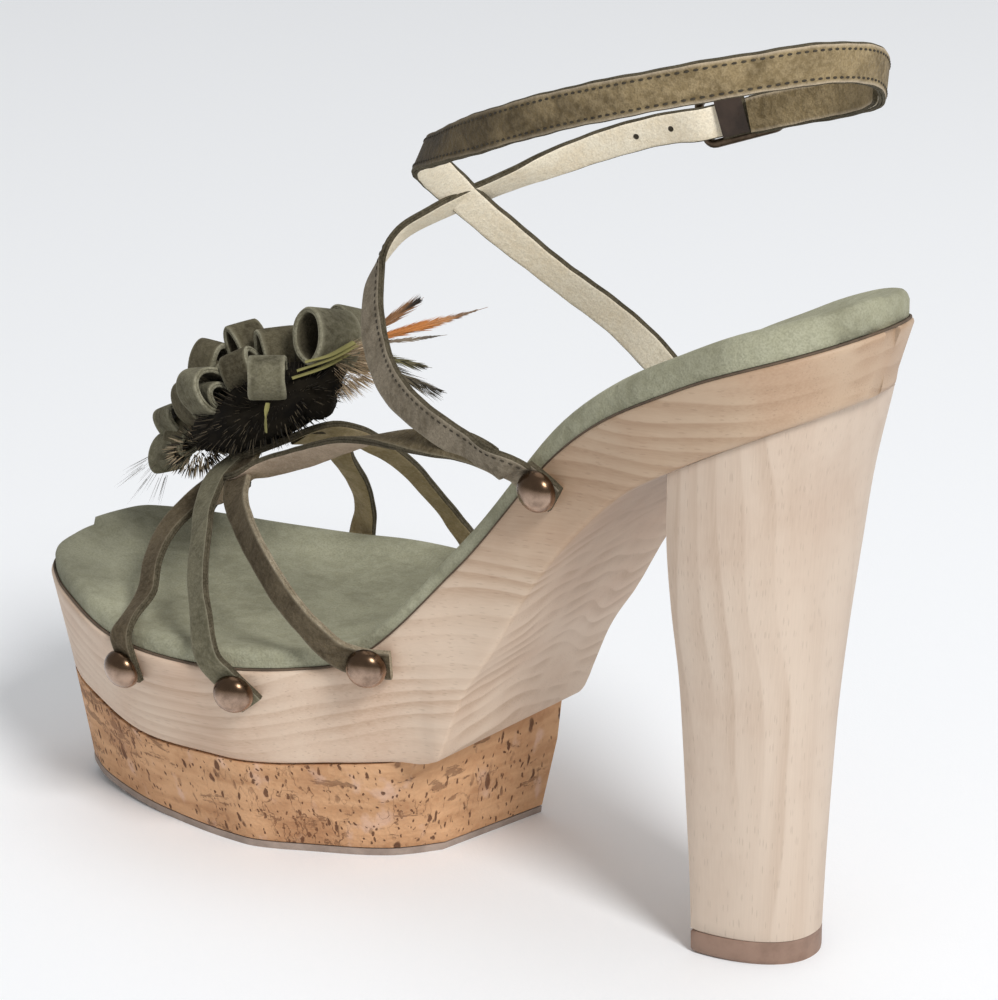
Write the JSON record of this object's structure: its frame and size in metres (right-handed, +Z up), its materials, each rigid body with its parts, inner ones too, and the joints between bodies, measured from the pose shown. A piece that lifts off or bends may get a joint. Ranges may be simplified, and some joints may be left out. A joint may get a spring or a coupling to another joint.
{
  "type": "platform sandal",
  "caption": "Right-foot platform sandal: pale wooden base and high block heel, cork platform, studded suede straps, a looped rosette with feathers and a buckled ankle strap.",
  "frame": {"origin": "on the floor under the forefoot, on the level part of the outsole's underside", "axes": "+X towards the heel, -X towards the toe, +Y towards the lateral (outer) side of this right shoe, +Z up; the shoe stands on its outsole and heel tip at Z = 0"},
  "size_m": [0.2091, 0.0925, 0.1871],
  "materials": {
    "pale_wood": "sanded pale wood, thin clear coat",
    "heel_wood": "sanded pale wood, grain running down the heel",
    "tip_rubber": "brown, matt",
    "cork": "bare cork with dark flecks",
    "outsole_rubber": "thin grey-brown sheet, matt",
    "sock_suede": "grey-green suede",
    "strap_suede": "olive-brown suede, beige lining",
    "stud_brass": "antique brass",
    "buckle_bronze": "dark bronze",
    "chape_leather": "dark brown",
    "rosette_suede": "olive suede strips",
    "feather_tan": "barbed, tan to black"
  },
  "bodies": {
    "root": {"wood_base": "pale_wood", "heel": "heel_wood", "heel_tip": "tip_rubber", "cork_platform": "cork", "outsole": "outsole_rubber", "insole": "sock_suede", "upper_straps": "strap_suede", "stud_1": "stud_brass", "stud_2": "stud_brass", "stud_3": "stud_brass", "stud_4": "stud_brass", "stud_5": "stud_brass", "stud_6": "stud_brass", "stud_7": "stud_brass", "stud_8": "stud_brass", "buckle_frame": "buckle_bronze", "buckle_prong": "buckle_bronze", "buckle_chape": "chape_leather", "rosette": "rosette_suede", "feathers": "feather_tan"}
  },
  "joints": []
}
